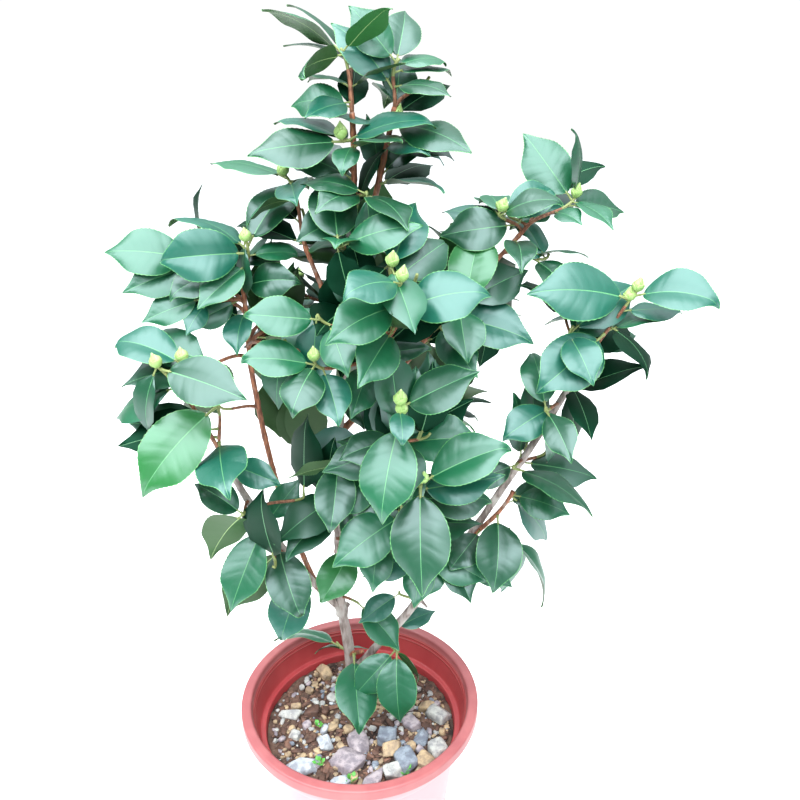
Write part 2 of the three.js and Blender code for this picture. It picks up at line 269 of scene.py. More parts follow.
class Finish(Tree):
    """A material with one Principled shader, whose plain values are set on its sockets."""

    def __init__(self, name, **plain):
        self.material = bpy.data.materials.new(name)
        self.material.use_nodes = True
        super().__init__(self.material.node_tree)
        self.shader = self.node_tree.nodes["Principled BSDF"]
        for label, value in plain.items():
            label = label.replace("_", " ").title().replace("Ior", "IOR")
            self.shader.inputs[label].default_value = value
        self.material.diffuse_color = self.shader.inputs["Base Color"].default_value

    def drive(self, label, wire):
        self.plug(self.shader.inputs[label], wire)

    def coat(self, ground, *layers):
        """Base colour: a ground paint, then each (wire, low, high, paint) laid over it."""
        tone = paint(*ground)
        for wire, low, high, over in layers:
            tone = self.fade(wire, low, high, tone, paint(*over))
        self.drive("Base Color", tone)

    def grain(self, scale, stretch=(1, 1, 1), detail=3.0, roughness=0.55):
        """Cloudy noise from 0 to 1, `scale` cells a metre, stretched along the axes."""
        place = self.node("ShaderNodeTexCoord", output="Object")
        place = self.node("ShaderNodeVectorMath", {"operation": "MULTIPLY"}, {0: place, 1: stretch})
        knobs = {"Vector": place, "Scale": scale, "Detail": detail, "Roughness": roughness}
        return self.node("ShaderNodeTexNoise", inputs=knobs)

    def relief(self, height, strength, depth):
        """A Bump node on the shader: `depth` is in metres."""
        knobs = {"Height": height, "Strength": strength, "Distance": depth}
        self.drive("Normal", self.node("ShaderNodeBump", inputs=knobs))


# %% [markdown]
# The viewer stands in front of the plant and looks down on it a little. The floor is a
# wide pale disc and the room beyond it is white, so the leaf edges stand out clean. The
# light is that of a bright overcast day: strong from above and dim from behind the
# viewer. Glossy leaves need that difference. A leaf that faces up mirrors the pale sky,
# and one that faces the viewer shows its own deep green.

# %% Camera, floor and light
LOOK_DOWN = 23.64  # degrees
camera = bpy.data.objects.new("camera", bpy.data.cameras.new("camera"))
camera.data.lens, camera.data.sensor_width = 36, 36
EYE = np.array([0.0373, -0.5770, 0.7426])
camera.location = EYE
camera.rotation_euler = (np.radians(90 - LOOK_DOWN), 0, 0)
bpy.context.scene.collection.objects.link(camera)
bpy.context.scene.camera = camera


def lamp(name, place, target, size, watts, colour):
    """A square soft lamp at `place` that looks at `target`."""
    light = bpy.data.lights.new(name, "AREA")
    light.size, light.energy, light.color = size, watts, colour
    obj = bpy.data.objects.new(name, light)
    obj.location = place
    obj.rotation_euler = (Vector(target) - obj.location).to_track_quat("-Z", "Y").to_euler()
    bpy.context.scene.collection.objects.link(obj)


lamp("sky_lamp", (-0.35, -0.6, 2.1), (0.05, 0, 0.45), 2.6, 138, (0.98, 0.98, 1.0))
lamp("front_lamp", (0.7, -1.5, 1.5), (0.05, 0, 0.4), 1.2, 18, (0.97, 1.0, 1.0))

WALLS, BEHIND_VIEWER = (0.44, 0.56, 0.52, 1), (0.06, 0.19, 0.12, 1)
OVERHEAD, WHITE = (1.74, 1.82, 1.90, 1), (1, 1, 1, 1)

world = bpy.data.worlds.new("white_room")
world.use_nodes = True
sky = Tree(world.node_tree)
_, away, aloft = sky.split(sky.node("ShaderNodeTexCoord"))
room = sky.fade(away, 0.1, -0.4, WALLS, BEHIND_VIEWER)
room = sky.fade(aloft, 0.3, 0.8, room, OVERHEAD)
room = sky.mix(sky.node("ShaderNodeLightPath", output="Is Camera Ray"), room, WHITE)
sky.plug(world.node_tree.nodes["Background"].inputs["Color"], room)
world.node_tree.nodes["Background"].inputs["Strength"].default_value = 1.05
bpy.context.scene.world = world
bpy.context.scene.view_settings.view_transform = "Standard"

floor_mesh = bpy.data.meshes.new("floor")
FLOOR_RADIUS, FLOOR_CORNERS, FLOOR_DROP = 6, 96, -0.0005  # metres; just under the pot
turn = np.linspace(0, 2 * np.pi, FLOOR_CORNERS, endpoint=False)
disc = np.stack([FLOOR_RADIUS * np.cos(turn), FLOOR_RADIUS * np.sin(turn),
                 np.full(FLOOR_CORNERS, FLOOR_DROP)], -1)
floor_mesh.from_pydata(disc.tolist(), [], [list(range(FLOOR_CORNERS))])
floor = bpy.data.objects.new("floor", floor_mesh)
bpy.context.scene.collection.objects.link(floor)
pale = Finish("pale_floor", base_color=paint(251, 251, 251), roughness=0.9)
floor_mesh.materials.append(pale.material)

# %% [markdown]
# The pot is moulded plastic in a terracotta red. Its outer wall and lip are painted
# paler than the inside, which is painted sheen, and low on the outer wall the red is
# mixed towards a near-white pink, which is painted glare. It is one turned profile: a
# tapering wall, a ledge, a flaring collar and a thick rolled lip with soft edges, with
# two fine mould lines round the inside. Turning a profile gives exact round edges, and
# a little sideways noise keeps the wall from looking machined.

# %% Pot
# radii and heights in mm
POT = dict(height=190, lip=110, mouth=100.8, skirt=180, collar_foot=94.2,
           ledge=160, wall=2.5, base=76, floor=3)
TURNS = 160
MOULD_LINES = (182.5, 179.0)


def soft_corners(corners, steps=4):
    """A polyline whose corners (radius, height, rounding) are eased by quadratic arcs."""
    line = []
    for before, here, after in zip(corners[:-2], corners[1:-1], corners[2:]):
        rounding = here[2]
        before, point, after = (np.array(corner[:2]) for corner in (before, here, after))
        if rounding == 0:
            line.append(point)
            continue
        enter = point + unit(before - point) * rounding
        leave = point + unit(after - point) * rounding
        t = np.linspace(0, 1, steps)[:, None]
        line.extend((1 - t) ** 2 * enter + 2 * t * (1 - t) * point + t * t * leave)
    return np.array(line)


def turned(profile, low_pole, high_pole):
    """Points of a profile (radius, height in mm) turned about Z: (r cos a, r sin a, h)."""
    angle = 2 * np.pi * np.arange(TURNS) / TURNS
    radius, height = profile[:, :1] + 0 * angle, profile[:, 1:] + 0 * angle
    rings = np.stack([radius * np.cos(angle), radius * np.sin(angle), height], -1)
    poles = [[0, 0, low_pole], [0, 0, high_pole]]
    return np.concatenate([rings.reshape(-1, 3), poles])


def collar_radius(height):
    """The collar's inner radius, straight from the ledge up to the mouth."""
    share = (height - POT["ledge"]) / (POT["height"] - POT["ledge"])
    return POT["collar_foot"] + share * (POT["mouth"] - POT["collar_foot"])


ledge_under = POT["ledge"] - POT["wall"]
ledge_inner = 89.2
mould_lines = []
for at in MOULD_LINES:
    for lift, proud in ((0.8, 0), (0.3, 0.5), (-0.3, 0.5), (-0.8, 0)):
        mould_lines.append((collar_radius(at + lift) - proud, at + lift, 0))
profile = soft_corners([
    (0, 0, 0), (POT["base"], 0, 2.5), (ledge_inner + POT["wall"], ledge_under, 0.8),
    (POT["collar_foot"] + POT["wall"], ledge_under, 1.2), (103.3, 187.5, 0.8), (107.5, 187.5, 0.8),
    (107.5, POT["skirt"], 0.7), (POT["lip"], POT["skirt"], 0.9), (POT["lip"], POT["height"], 2.2),
    (POT["mouth"], POT["height"], 2.2), *mould_lines, (POT["collar_foot"], POT["ledge"], 1.6),
    (ledge_inner, POT["ledge"], 1.2), (POT["base"] - POT["wall"], POT["floor"], 3), (0, POT["floor"], 0),
], steps=5)
# long straight runs get extra rings, so that the wall can carry its slight unevenness
along = np.concatenate([[0], np.cumsum(np.linalg.norm(np.diff(profile, axis=0), axis=1))])
extra = np.union1d(along, np.arange(0, along[-1], 6.0))
profile = np.stack([np.interp(extra, along, profile[:, k]) for k in (0, 1)], -1)
pot_points = turned(profile, 0, POT["floor"])
outward = unit(pot_points * [1, 1, 0])
pot_points += outward * 0.12 * noise(pot_points, 38, 3)[:, None]
pot = Gathered()
lip_at = int(np.argmax(profile[:, 1]))
# the outer wall (finish 1) and the lip (finish 3) take paler copies of the red, which paint sheen and glare
ring_finish = np.where(np.arange(len(profile)) < np.argmax(profile[:, 0] > 104), 1, 0)
ring_finish[(profile[:, 1] > POT["skirt"]) & (profile[:, 0] > POT["mouth"] - 0.5)] = 3
for at in MOULD_LINES:
    ring_finish[(np.abs(profile[:, 1] - at) < 0.5) & (np.arange(len(profile)) > lip_at)] = 2
pot_finish = np.repeat(np.concatenate([ring_finish[:-1], ring_finish[[0, -1]]]), TURNS)
pot.add(pot_points * MM, tube_faces(len(profile), TURNS), pot_finish)


def plastic_finish(name, low, high, faded):
    """Plastic between two clouded tones; the last argument mixes it towards a near-white pink low down, which
    is painted glare.
    """
    plastic = Finish(name, base_color=paint(*low), roughness=0.36)
    clouds = plastic.grain(22, detail=2)
    streaks = plastic.grain(60, stretch=(1, 1, 0.12), detail=2)
    tone = plastic.fade(clouds * 0.6 + streaks * 0.4, 0.35, 0.7, paint(*low), paint(*high))
    if faded:
        # painted glare: from the collar down, the tone is mixed towards a near-white pink
        height = plastic.split(plastic.node("ShaderNodeTexCoord", output="Object"))[2]
        painted_glare_foot = plastic.step(height + 0.02 * clouds, 0.19, 0.165)
        tone = plastic.mix(faded * painted_glare_foot, tone, paint(202, 166, 172))
    plastic.drive("Base Color", tone)
    plastic.drive("Roughness", 0.32 + 0.14 * streaks)
    plastic.relief(plastic.grain(900, detail=2), 0.12, 0.0003)
    return plastic.material


pot.piece("plastic_pot", [
    plastic_finish("terracotta_plastic", (158, 54, 58), (172, 66, 68), 0),
    # outer wall: paler than the inside as painted sheen, and near white low down as painted glare
    plastic_finish("faded_plastic", (158, 80, 84), (172, 96, 100), 0.6),
    plastic_finish("mould_line_plastic", (186, 102, 100), (196, 114, 112), 0),
    # lip: paler than the inside, which is painted sheen
    plastic_finish("lip_plastic_painted_sheen", (147, 78, 81), (163, 94, 95), 0),
], "pot", ["pot", "pot_collar"])

# %% [markdown]
# The potting mix is a lumpy bed that fills the pot to forty millimetres below its lip.
# Its top is a height field with three sizes of noise: low swells, clods and crumbs. It
# rises a little round the foot of the trunk, where the root ball sits proud.

# %% Potting mix
TRUNK_FOOT = np.array([-8.0, 43.0])
MIX_TOP, MIX_RADIUS, MIX_RINGS = 150.0, 88.2, 66


def mix_height(spot):
    """Height of the bed in mm over points (x, y): its level, swells, clods and crumbs."""
    flat = np.stack([spot[..., 0], spot[..., 1], np.zeros(spot.shape[:-1])], -1)
    mound = 4.0 * np.exp(-np.sum((spot - TRUNK_FOOT) ** 2, -1) / 18**2)
    rim = 2.0 * ease(70, 88, np.linalg.norm(spot, axis=-1))
    clods = 2.0 * noise(flat, 26, 5) + 2.4 * np.abs(noise(flat, 9, 6)) + 1.3 * noise(flat, 4, 7)
    return MIX_TOP + mound + rim + clods - 0.8


side = np.array([[72.9, 3.0], [80.0, 75.0], [MIX_RADIUS, 146.0]])
inward = np.stack([np.linspace(MIX_RADIUS, 1.3, MIX_RINGS), np.full(MIX_RINGS, MIX_TOP)], -1)
bed = turned(np.concatenate([side, inward]), 3.0, MIX_TOP)
top = np.arange(len(bed)) >= len(side) * TURNS
top[-2] = False
bed[top, 2] = mix_height(bed[top, :2])
soil = Gathered()
soil.add(bed * MM, tube_faces(len(side) + MIX_RINGS, TURNS))

crumbly = Finish("potting_mix", base_color=paint(92, 66, 52), roughness=0.95)
fibres = crumbly.grain(420, detail=4, roughness=0.7)
patches = crumbly.grain(70, detail=3)
crumbly.coat((40, 30, 27), (patches, 0.35, 0.65, (100, 78, 66)),
             (fibres, 0.58, 0.7, (140, 122, 108)))
crumbly.relief(fibres + 0.5 * patches, 0.6, 0.0012)
soil.piece("potting_mix_bed", [crumbly.material], "potting_mix", ["potting_mix"])

# %% [markdown]
# Broken stones lie on the mix. A broken stone is what is left when planes cut a lump
# from all sides, so its radius in any direction is the nearest plane's distance along
# it. Adding the planes with a high power instead of taking the nearest one rounds the
# edges slightly. The large stones are placed by name, and the rest are packed by chance.


# %% Stones, chips and crumbs
STONE_PLANES, SHARPNESS, SUNK = 7, 40, 0.3


def stone(size, rows, sides, seed):
    """A cut lump: r = (sum of (n.d / h)^p)^(-1/p) over planes with normals n, distances h."""
    own = np.random.default_rng(seed)
    planes = unit(own.normal(size=(STONE_PLANES, 3)))
    planes = np.concatenate([planes, np.eye(3), -np.eye(3)])
    reach = own.uniform(0.62, 1.0, len(planes))
    polar = np.pi * (np.arange(rows) + 1) / (rows + 1)
    angle = 2 * np.pi * np.arange(sides) / sides
    polar, angle = np.meshgrid(np.pi - polar, angle, indexing="ij")
    look = np.stack([np.sin(polar) * np.cos(angle), np.sin(polar) * np.sin(angle), np.cos(polar)], -1)
    look = np.concatenate([look.reshape(-1, 3), [[0, 0, -1], [0, 0, 1]]])
    cut = np.maximum(look @ planes.T, 0) / reach
    radius = np.sum(cut**SHARPNESS, -1) ** (-1 / SHARPNESS)
    radius *= 1 + 0.03 * noise(look, 0.5, seed)
    turn = np.linalg.qr(own.normal(size=(3, 3)))[0]
    turn *= np.sign(np.linalg.det(turn))
    lean = np.array([[1, 0, 0.12 * own.normal()], [0, 1, 0.12 * own.normal()], [0, 0, 1]])
    shaped = (look * radius[:, None]) @ (turn if size[2] > 0.85 * size[0] else np.eye(3)).T
    about = 2 * np.pi * own.random()
    spin = np.array([[np.cos(about), -np.sin(about), 0], [np.sin(about), np.cos(about), 0], [0, 0, 1]])
    return (shaped * size) @ spin.T @ lean.T


STONE_PAINTS = {
    "pale_grey": (164, 166, 164), "blue_grey": (122, 132, 144), "white_blue": (174, 182, 190),
    "lilac_grey": (150, 142, 148), "tan": (164, 144, 116), "bark_brown": (84, 60, 50),
    "red_brown": (112, 82, 68),
}
# place from the pot's middle, size across, and finish of each large stone
LARGE_STONES = [
    ((-10, -47), (19, 16, 8), "lilac_grey"), ((-49, -52), (18, 10, 6), "white_blue"),
    ((-3, -24), (13, 11, 8), "lilac_grey"), ((26, -19), (12, 11, 9), "blue_grey"),
    ((31, -31), (9, 11, 8), "tan"), ((43, -47), (12, 10, 9), "blue_grey"),
    ((32, -58), (10, 9, 8), "pale_grey"), ((48, -2), (10, 9, 8), "lilac_grey"),
    ((76, 9), (11, 13, 8), "pale_grey"), ((72, -34), (10, 11, 8), "pale_grey"),
    ((58, -48), (10, 10, 8), "tan"), ((-32, -25), (8, 9, 8), "white_blue"),
    ((-70, 10), (7, 12, 6), "pale_grey"), ((14, -67), (16, 8, 7), "lilac_grey"),
    ((-15, -69), (11, 7, 6), "white_blue"), ((57, -20), (7, 8, 7), "blue_grey"),
    ((64, 22), (9, 7, 5), "tan"), ((-62, -14), (7, 6, 5), "pale_grey"),
    ((-48, 14), (9, 6, 5), "bark_brown"), ((10, 62), (9, 8, 6), "pale_grey"),
    ((-40, 66), (10, 8, 6), "tan"), ((44, 56), (9, 9, 6), "blue_grey"),
]
MOST_TRIES, STONY_RADIUS, CLEAR_OF_TRUNK = 30000, 86, 11  # the last two in mm
stones = {name: Gathered() for name in STONE_PAINTS}
laid = []  # x, y and radius of each stone so far


def lay_stone(spot, size, name, rows, sides, seed):
    """Sets a stone on the bed, sunk by a share of its height."""
    spot, size = np.array(spot, float), np.array(size, float)
    height = mix_height(spot) + size[2] * (1 - 2 * SUNK)
    cut = stone(size, rows, sides, seed) + [*spot, height]
    stones[name].add(cut * MM, tube_faces(rows, sides))
    laid.append((*spot, 0.5 * (size[0] + size[1])))


for number, (spot, size, name) in enumerate(LARGE_STONES):
    lay_stone(spot, size, name, 20, 28, 100 + number)

# how many, smallest and largest radius, rows and sides, odds of each paint, and how
# near a stone may lie to another, as a share of both radii
names = list(STONE_PAINTS)
for count, low, high, rows, sides, odds, crowding in (
    (190, 3.0, 6.6, 8, 12, (0.19, 0.14, 0.03, 0.13, 0.15, 0.20, 0.16), 0.70),
    (1300, 1.1, 3.1, 5, 7, (0.07, 0.04, 0.01, 0.07, 0.20, 0.34, 0.27), 0.40),
):
    placed, tries = 0, 0
    while placed < count and tries < MOST_TRIES:
        tries += 1
        size = chance.uniform(low, high)
        radius = (STONY_RADIUS - size) * np.sqrt(chance.random())
        angle = 2 * np.pi * chance.random()
        spot = np.array([radius * np.cos(angle), radius * np.sin(angle)])
        near = np.array(laid)
        if (np.hypot(*(near[:, :2] - spot).T) < crowding * (near[:, 2] + size)).any():
            continue
        if np.hypot(*(spot - TRUNK_FOOT)) < CLEAR_OF_TRUNK + size:
            continue
        name = names[chance.choice(len(names), p=odds)]
        shape = size * np.array([1, chance.uniform(0.6, 0.95), chance.uniform(0.4, 0.8)])
        if name in ("bark_brown", "red_brown"):
            shape *= [1.35, 0.75, 0.55]
        lay_stone(spot, shape, name, rows, sides, 1000 + len(laid))
        placed += 1
print("stones:", len(laid), "of them", len(LARGE_STONES), "by hand")

for name, gathered in stones.items():
    own = np.array(STONE_PAINTS[name])
    finish = Finish(name + "_stone", base_color=paint(*own), roughness=0.7)
    blotch, speck = finish.grain(160, detail=4), finish.grain(900, detail=3)
    lit = np.minimum(own * [1.1, 1.1, 1.08], 250)
    finish.coat(own * [0.82, 0.82, 0.84], (blotch, 0.35, 0.65, lit),
                (speck, 0.6, 0.7, own * [0.7, 0.68, 0.68]))
    finish.relief(blotch + 0.4 * speck, 0.45, 0.0008)
    gathered.piece(name + "_stones", [finish.material], "potting_mix")

# %% [markdown]
# The limbs carry bark. Each one follows the centreline of its solid, found by cutting
# the solid's edges with planes and averaging the cuts. The old limbs are grey with long
# shallow ridges and pale patches, and the young ones are reddish brown and smooth, with
# a ring where each year's scales were. Real relief is used, so the outline shows it.


# %% Limb centrelines
def limb_line(name, inset=9 * MM, stations=26):
    """Centreline and radius along a CAD limb, from planes square to its long axis."""
    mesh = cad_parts[name].data
    points = np.empty(len(mesh.vertices) * 3, np.float32)
    mesh.vertices.foreach_get("co", points)
    edges = np.empty(len(mesh.edges) * 2, np.int32)
    mesh.edges.foreach_get("vertices", edges)
    points, edges = points.reshape(-1, 3).astype(float), edges.reshape(-1, 2)
    axis = np.linalg.svd(points - points.mean(0), full_matrices=False)[2][0]
    axis = axis * (1 if axis[2] > 0 else -1)
    along = points @ axis
    inset = min(inset, 0.2 * np.ptp(along))
    cuts = np.linspace(along.min() + inset, along.max() - inset, stations)
    first, second = along[edges[:, 0]], along[edges[:, 1]]
    line, thick = [], []
    for cut in cuts:
        crossed = (first - cut) * (second - cut) < 0
        share = ((cut - first[crossed]) / (second[crossed] - first[crossed]))[:, None]
        ends = edges[crossed]
        hits = points[ends[:, 0]] + share * (points[ends[:, 1]] - points[ends[:, 0]])
        line.append(hits.mean(0))
        thick.append(np.linalg.norm(hits - hits.mean(0), axis=1).mean())
    # a cubic through the stations smooths them, and runs on a little past each end;
    # a short limb is as good as straight, and a cubic would swing off past its ends
    t = (cuts - cuts[0]) / (cuts[-1] - cuts[0])
    span = cuts[-1] - cuts[0]
    fit = np.polyfit(t, np.array(line), 3 if span > 30 * MM else 1)
    run = np.linspace(-1.6 * inset / span, 1 + 1.35 * inset / span, int(span / (2.6 * MM)) + 8)
    smooth = sum(fit[k] * run[:, None] ** (len(fit) - 1 - k) for k in range(len(fit)))
    return smooth, np.interp(run, t, thick)


OLD_LIMBS = ["trunk", "bough_right", "leader", "bough_left"]
limb_names = [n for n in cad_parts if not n.startswith(("leaves_", "pot"))]
limbs = {name: limb_line(name) for name in limb_names}
print("limbs:", len(limbs), "total length %.2f m" % sum(
    np.linalg.norm(np.diff(line, axis=0), axis=1).sum() for line, _ in limbs.values()))


# %% Bark
def bark_radius(line, thick, sides, seed, ridge, rings):
    """Radius of each ring and side: the limb's own, a collar at its foot, long ridges,
    short lumps and, on young wood, a raised ring every few centimetres."""
    reach = np.concatenate([[0], np.cumsum(np.linalg.norm(np.diff(line, axis=0), axis=1))])
    angle = 2 * np.pi * np.arange(sides) / sides
    about = np.stack(np.broadcast_arrays(
        np.cos(angle)[None], np.sin(angle)[None], reach[:, None] / (14 * MM)), -1)
    grooves = noise(about * [2.6, 2.6, 0.7], 1, seed) + 0.5 * noise(about * [5, 5, 1.6], 1, seed + 1)
    lumps = noise(about * [1, 1, 1.1], 1, seed + 2)
    specks = ease(0.45, 0.8, noise(about * [4, 4, 5], 1, seed + 3))
    collar = 0.5 * np.exp(-reach / (7 * MM))[:, None]
    radius = thick[:, None] * (1 + collar + 0.07 * lumps)
    radius = radius + ridge * MM * (grooves + 0.7 * specks)
    if rings:
        wave = (reach / (31 * MM) + 0.3 * seed) % 1
        radius = radius + 0.45 * MM * np.exp(-((wave - 0.5) * 31 / 1.6) ** 2)[:, None]
    return radius


old_wood, young_wood = Gathered(), Gathered()
for number, name in enumerate(limb_names):
    line, thick = limbs[name]
    old = name in OLD_LIMBS
    wobble = np.stack([noise(line + k, 42 * MM, number + 40 * k) for k in range(3)], -1)
    line = line + 0.9 * MM * wobble * ease(0, 0.15, np.linspace(0, 1, len(line)))[:, None]
    sides = 24 if old else 16
    radius = bark_radius(line, thick, sides, 11 * number, 0.34 if old else 0.14, not old)
    if name == "trunk":  # the flare runs on below the mix
        line[:, 2] -= 4 * MM * (1 - ease(0, 0.2, np.linspace(0, 1, len(line))))
    (old_wood if old else young_wood).tube(line, radius, sides)
    limbs[name] = (line, thick)

# stubs where side shoots were pruned away, and a dry spur under the right bough
fork = limbs["trunk"][0][-4]
for hour, rise, length, thick in ((10.2, 48, 17, 3.3), (11.6, 66, 15, 2.9), (1.5, 50, 11, 2.6)):
    reach = np.linspace(0, 1, 10)[:, None]
    path = fork + reach * length * MM * way(hour, rise)
    swell = thick * (1.1 - 0.25 * reach[:, 0] + 0.22 * np.exp(-((reach[:, 0] - 0.92) / 0.09) ** 2))
    old_wood.tube(path, bark_radius(path, swell * MM, 18, int(10 * hour), 0.3, False), 18, dome=0.25)
spur_from = limbs["bough_right"][0][int(0.34 * len(limbs["bough_right"][0]))]
path = spur_from + np.linspace(0, 1, 7)[:, None] * 11 * MM * way(4, -38)
old_wood.tube(path, np.linspace(2.0, 0.9, 7) * MM, 10)

old_bark = Finish("old_bark", base_color=paint(138, 126, 120), roughness=0.85)
long_grain = old_bark.grain(240, stretch=(1, 1, 0.22), detail=4)
patch = old_bark.grain(55, stretch=(1, 1, 0.6), detail=3)
old_bark.coat((114, 100, 96), (long_grain, 0.35, 0.62, (170, 158, 154)),
              (patch, 0.52, 0.66, (178, 172, 168)))
old_bark.relief(long_grain + 0.3 * old_bark.grain(900), 0.7, 0.0008)
young_bark = Finish("young_bark", base_color=paint(120, 82, 62), roughness=0.62)
fine = young_bark.grain(420, stretch=(1, 1, 0.3), detail=4)
patch = young_bark.grain(60, detail=3)
young_bark.coat((100, 56, 38), (fine, 0.35, 0.65, (154, 96, 66)),
                (patch, 0.55, 0.68, (150, 128, 116)))
young_bark.relief(fine, 0.5, 0.0005)
old_wood.piece("old_bark_limbs", [old_bark.material], "old_bark", OLD_LIMBS)
young_wood.piece("young_bark_limbs", [young_bark.material], "young_bark",
                 [n for n in limb_names if n not in OLD_LIMBS])

# %% [markdown]
# A camellia leaf is leathery, glossy and finely toothed, with a sunken midrib, a pale
# margin and a drawn-out tip. Its rows are laid as chevrons along its side veins. The
# leaves that are set one by one near the viewer are fine ones, with rows enough for the veins
# to sink and the rim to be toothed. The hundreds that the rule grows are plain ones, with
# ninety faces each in the same outline.


# %% Leaf shape
BLADE, MIDRIB, MARGIN, BELOW, RIB_BELOW, STALK = range(6)
SIDE_VEINS = 8


class LeafGrid:
    """How finely a leaf is drawn. `across` is the share of the half width at which each
    point of a row lies, left rim to right rim on top and then back underneath."""

    def __init__(self, rows, across, under, strips, columns):
        sides = len(across)
        self.rows, self.fine, self.across = rows, rows > 20, np.array(across)
        self.under = np.arange(sides) >= under
        self.faces = tube_faces(rows, sides)
        # the underside's quads start a corner later, so that they fold as the top's do
        below = np.arange(len(self.faces)) % sides >= under - 1
        below[(rows - 1) * sides:] = False
        self.faces[below] = np.roll(self.faces[below], -1, axis=1)
        ends = np.repeat([STALK, MARGIN], sides)
        self.finish = np.concatenate([np.tile(strips, rows - 1), ends])
        self.rim = np.concatenate([np.tile(np.abs(self.across) == 1, rows), [False, False]])
        picked = np.linspace(0, rows - 1, 7).round().astype(int)
        self.outline = (picked[:, None] * sides + np.array(columns)).ravel()


FINE = LeafGrid(
    48, [1, 0.94, 0.66, 0.33, 0.05, -0.05, -0.33, -0.66, -0.94, -1, -0.66, -0.05, 0.05, 0.66], 10,
    [MARGIN, BLADE, BLADE, BLADE, MIDRIB, BLADE, BLADE, BLADE, MARGIN,
     BELOW, BELOW, RIB_BELOW, BELOW, BELOW],
    [0, 3, 6, 9])
PLAIN = LeafGrid(
    9, [1, 0.55, 0.05, -0.05, -0.55, -1, -0.55, 0.05, 0.55], 6,
    [BLADE, BLADE, MIDRIB, BLADE, BLADE, BELOW, BELOW, BELOW, BELOW], [0, 1, 4, 5])
grid = np.arange(6)[:, None] * 4 + np.arange(3)
PROXY_FACES = np.stack([grid, grid + 1, grid + 5, grid + 4], -1).reshape(-1, 4).tolist()


def half_width(s):
    """Outline of the blade from base 0 to tip 1: s^0.8 (1 - s), as a share of its greatest
    value, drawn in towards the tip."""
    s = np.clip(s, 0, 1)
    body = s**0.8 * (1 - s) / (0.4444**0.8 * 0.5556)
    return body**0.9 * (1 - 0.5 * ease(0.62, 0.92, s))


def leaf_points(kind, length, width, bend, fold, seed):
    """A leaf along +X with its face up. Row i at the midrib is at s0; a point `a` of the
    half width out is further on by 0.7 a s0 (1 - s0), which lays the rows along the side
    veins. The midrib's angle falls by bend s^1.3. Returns points, and the chord's angle."""
    own = np.random.default_rng(seed)
    across = kind.across
    s0 = np.linspace(0.012, 0.99, kind.rows)[:, None]
    a = np.abs(across)[None]
    s = s0 + 0.7 * a * s0 * (1 - s0)
    w = 0.5 * width * half_width(s)
    x = a * w
    x = np.where(a == 0.05, np.minimum(length * 0.0068 * (1 - 0.75 * s), 0.4 * w), x)
    x = np.where(a == 0.94, np.maximum(w - 0.006 * length, 0.5 * w), x)
    q = x / np.maximum(w, 1e-9)
    row = np.arange(kind.rows)[:, None]
    dents = 0.010 * length * (1 - 0.5 * s) * (a == 0.05)
    if kind.fine:
        teeth = 0.0045 * length * np.where(row % 2, 1, -0.4)
        x = np.where(a == 1, x + teeth * ease(0.1, 0.25, s) * (1 - ease(0.88, 0.98, s)), x)
        lane = (row * SIDE_VEINS / kind.rows) % 1 - 0.5
        vein = np.exp(-((lane / 0.14) ** 2)) * ease(0.02, 0.2, a) * (1 - ease(0.7, 0.95, a))
        flat = np.stack([s * length, x * np.sign(across), np.full(s.shape, seed * 0.37)], -1)
        mottling = 0.009 * noise(flat, 0.2 * length, 9) * ease(0, 0.3, a)
        dents = dents + length * (1 - 0.5 * s) * (0.0042 * vein - mottling)
    left = np.where(across > 0, own.random(), own.random())[None]
    z = x * np.tan(np.radians(fold * (1 - 0.35 * s))) - 0.26 * w * q**2.2 - dents
    z = z + 0.014 * length * np.sin(2 * np.pi * (1.9 * s + left)) * q**2
    z = z - np.where(kind.under, np.where(a == 0.05, 0.020, 0.017), 0) * length * (1 - 0.5 * s)

    fine = np.linspace(0, 1, 61)
    curl = own.uniform(0, 1) ** 2 * (1 if kind.fine else 0.5)
    angle = -np.radians(bend) * fine**1.3 - np.radians(75) * curl * ease(0.76, 1, fine)
    run = np.concatenate([[0], np.cumsum(np.cos(angle[:-1] + np.diff(angle) / 2))]) / 60 * length
    drop = np.concatenate([[0], np.cumsum(np.sin(angle[:-1] + np.diff(angle) / 2))]) / 60 * length
    here = np.interp(s, fine, angle)
    twist = np.radians(own.uniform(-22, 22)) * s
    y = x * np.sign(across)
    y, z = y * np.cos(twist) - z * np.sin(twist), y * np.sin(twist) + z * np.cos(twist)
    sway = own.uniform(-0.07, 0.07) * length
    forward = np.interp(s, fine, run) - z * np.sin(here)
    lift = np.interp(s, fine, drop) + z * np.cos(here)
    rings = np.stack([forward, y + sway * s**2, lift], -1).reshape(-1, 3)
    poles = [[0, 0, 0], [run[-1], sway, drop[-1]]]
    return np.concatenate([rings, poles]), np.arctan2(drop[-1], run[-1])


for label, kind in (("fine leaf", FINE), ("plain leaf", PLAIN)):
    triangles = int((kind.faces >= 0).sum()) - 2 * len(kind.faces)
    print(f"{label}: {len(kind.faces)} faces, {triangles} triangles")

# %% [markdown]
# Leaf colours are plain, one tint for a whole leaf, because a pattern would slide when
# the pieces are joined. A shoot's outer leaves take one of three greens by chance, and
# the youngest are brighter and yellower. Leaves deep in the crown mostly take a near-black
# green, which is painted shade, and otherwise the deepest green.

# %% Leaf, twig and bud finishes
GLOSS = dict(roughness=0.38, ior=1.8, specular_tint=(0.68, 0.86, 0.91, 1.0),
             coat_weight=0.12, coat_roughness=0.3)
SHADED = dict(roughness=0.5, ior=1.45, specular_tint=(0.15, 0.7, 0.4, 1.0))
